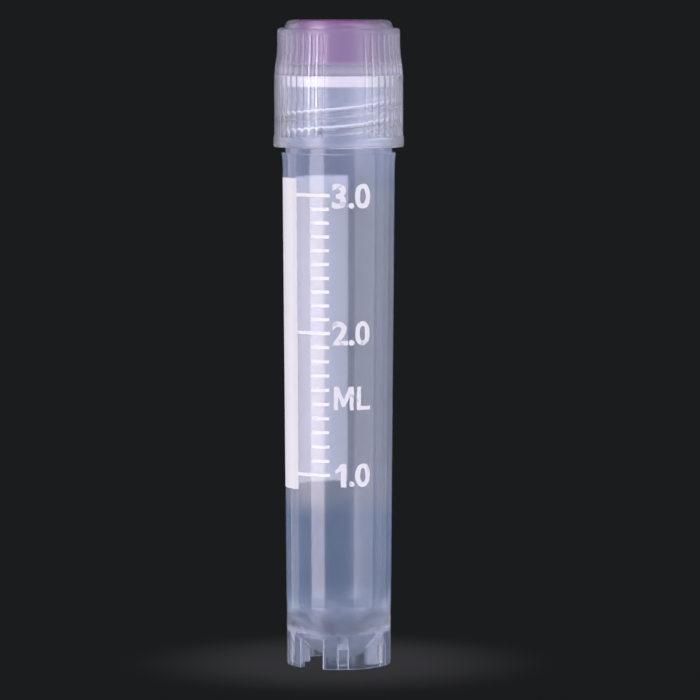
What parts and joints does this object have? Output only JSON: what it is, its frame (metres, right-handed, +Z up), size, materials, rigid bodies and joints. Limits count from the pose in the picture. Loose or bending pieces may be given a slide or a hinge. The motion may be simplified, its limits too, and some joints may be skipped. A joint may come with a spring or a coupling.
{
  "type": "cryogenic vial",
  "caption": "Slim self-standing tube with a round end in a notched foot skirt, white volume scale and writing panel, and a ribbed clear screw cap with a purple insert and a white seal.",
  "frame": {"origin": "centre of the ring that the foot skirt stands on", "axes": "+Z up along the axis of the vial, -Y the side with the volume scale, +X to the right of it as it is read"},
  "size_m": [0.0136, 0.0136, 0.068],
  "materials": {
    "tube_plastic": "natural polypropylene, hazy and see-through, moulded gloss",
    "cap_plastic": "natural polypropylene, hazier than the tube, ribbed grip",
    "insert_plastic": "purple moulded polypropylene, satin",
    "seal_silicone": "opaque white silicone, matt",
    "white_ink": "screen-printed white ink"
  },
  "bodies": {
    "vial": {"tube": "tube_plastic"},
    "seal": {"sealing_washer": "seal_silicone"},
    "closure": {"cap": "cap_plastic", "cap_insert": "insert_plastic"}
  },
  "joints": [
    {"name": "cap_lift", "type": "slide", "parent": "vial", "child": "seal", "axis": [0, 0, 1], "range_m": [0, 0.00278]},
    {"name": "cap_turn", "type": "hinge", "parent": "seal", "child": "closure", "pos_m": [0, 0, 0.0611], "axis": [0, 0, 1], "range_deg": [0, 270]}
  ],
  "couplings": [
    {"joint": "cap_turn", "follows": "cap_lift", "rad_per_m": 1698.2}
  ]
}
